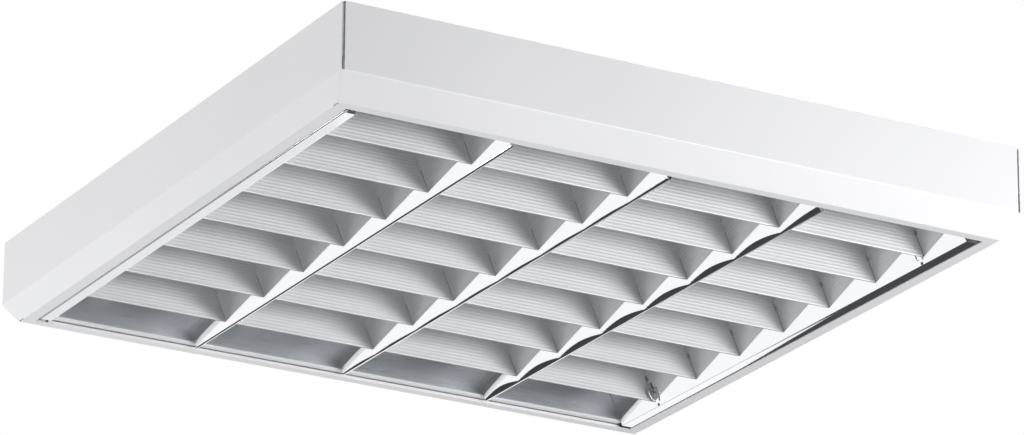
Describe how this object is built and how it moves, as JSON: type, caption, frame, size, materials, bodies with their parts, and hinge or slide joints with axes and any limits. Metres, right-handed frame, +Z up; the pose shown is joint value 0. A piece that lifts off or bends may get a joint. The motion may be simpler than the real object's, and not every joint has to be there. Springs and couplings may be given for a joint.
{
  "type": "louvred ceiling light",
  "caption": "Square surface-mounted ceiling light: white sheet housing, slim tubes, and a hinged mirror louvre with ribbed cross blades.",
  "frame": {"origin": "middle of the flat top face that lies against the ceiling", "axes": "+Z up into the ceiling, Y along the lamps, X across them, with the louvre's hinge on the -X side"},
  "size_m": [0.6, 0.6, 0.0734],
  "materials": {
    "housing_paint": "white powder coat, semi-gloss",
    "mirror_sheet": "bright specular anodised sheet",
    "ribbed_blade": "ribbed satin sheet with a white coat",
    "zinc_plate": "bright zinc plated",
    "spring_wire": "drawn spring steel wire",
    "ballast_case": "white coated steel case",
    "terminal_plastic": "moulded matt",
    "grommet_rubber": "light grey rubber",
    "holder_plastic": "moulded white",
    "rotor_plastic": "moulded white",
    "lamp_glass": "glass tube, powder coated white inside",
    "cap_metal": "spun cap, satin"
  },
  "bodies": {
    "housing": {"housing_tray": "housing_paint", "end_wall_near": "housing_paint", "end_wall_far": "housing_paint", "corner_angles": "zinc_plate", "gear_cover": "housing_paint", "cover_screws": "zinc_plate", "ballast": "ballast_case", "ballast_screws": "zinc_plate", "terminal_block": "terminal_plastic", "earth_stud": "zinc_plate", "cable_grommet": "grommet_rubber", "holder_rail_near": "housing_paint", "holder_rail_far": "housing_paint", "lamp_holders_near": "holder_plastic", "lamp_holders_far": "holder_plastic", "hinge_brackets": "housing_paint"},
    "louvre": {"side_reflector_left": "mirror_sheet", "side_reflector_right": "mirror_sheet", "separator_1": "mirror_sheet", "separator_2": "mirror_sheet", "separator_3": "mirror_sheet", "blade_1": "ribbed_blade", "blade_2": "ribbed_blade", "blade_3": "ribbed_blade", "blade_4": "ribbed_blade", "blade_5": "ribbed_blade", "blade_6": "ribbed_blade", "blade_7": "ribbed_blade", "louvre_end_near": "mirror_sheet", "louvre_end_far": "mirror_sheet", "hinge_pins": "zinc_plate", "catch_brackets": "zinc_plate"},
    "catch_near": {"catch_near": "spring_wire"},
    "catch_far": {"catch_far": "spring_wire"},
    "lamp_1": {"lamp_tube_1": "lamp_glass", "lamp_caps_1": "cap_metal", "lamp_rotors_1": "rotor_plastic"},
    "lamp_2": {"lamp_tube_2": "lamp_glass", "lamp_caps_2": "cap_metal", "lamp_rotors_2": "rotor_plastic"},
    "lamp_3": {"lamp_tube_3": "lamp_glass", "lamp_caps_3": "cap_metal", "lamp_rotors_3": "rotor_plastic"},
    "lamp_4": {"lamp_tube_4": "lamp_glass", "lamp_caps_4": "cap_metal", "lamp_rotors_4": "rotor_plastic"}
  },
  "joints": [
    {"name": "louvre_hinge", "type": "hinge", "parent": "housing", "child": "louvre", "pos_m": [-0.2775, 0, -0.0706], "axis": [0, 1, 0], "range_deg": [0, 90]},
    {"name": "catch_near_pull", "type": "hinge", "parent": "louvre", "child": "catch_near", "pos_m": [0.276, -0.204, -0.048], "axis": [0, 1, 0], "range_deg": [0, 14], "stiffness_Nm_per_rad": 0.02},
    {"name": "catch_far_pull", "type": "hinge", "parent": "louvre", "child": "catch_far", "pos_m": [0.276, 0.204, -0.048], "axis": [0, 1, 0], "range_deg": [0, 14], "stiffness_Nm_per_rad": 0.02},
    {"name": "lamp_1_twist", "type": "hinge", "parent": "housing", "child": "lamp_1", "pos_m": [-0.2052, 0, -0.0234], "axis": [0, 1, 0], "range_deg": [0, 90]},
    {"name": "lamp_2_twist", "type": "hinge", "parent": "housing", "child": "lamp_2", "pos_m": [-0.0684, 0, -0.0234], "axis": [0, 1, 0], "range_deg": [0, 90]},
    {"name": "lamp_3_twist", "type": "hinge", "parent": "housing", "child": "lamp_3", "pos_m": [0.0684, 0, -0.0234], "axis": [0, 1, 0], "range_deg": [0, 90]},
    {"name": "lamp_4_twist", "type": "hinge", "parent": "housing", "child": "lamp_4", "pos_m": [0.2052, 0, -0.0234], "axis": [0, 1, 0], "range_deg": [0, 90]}
  ]
}
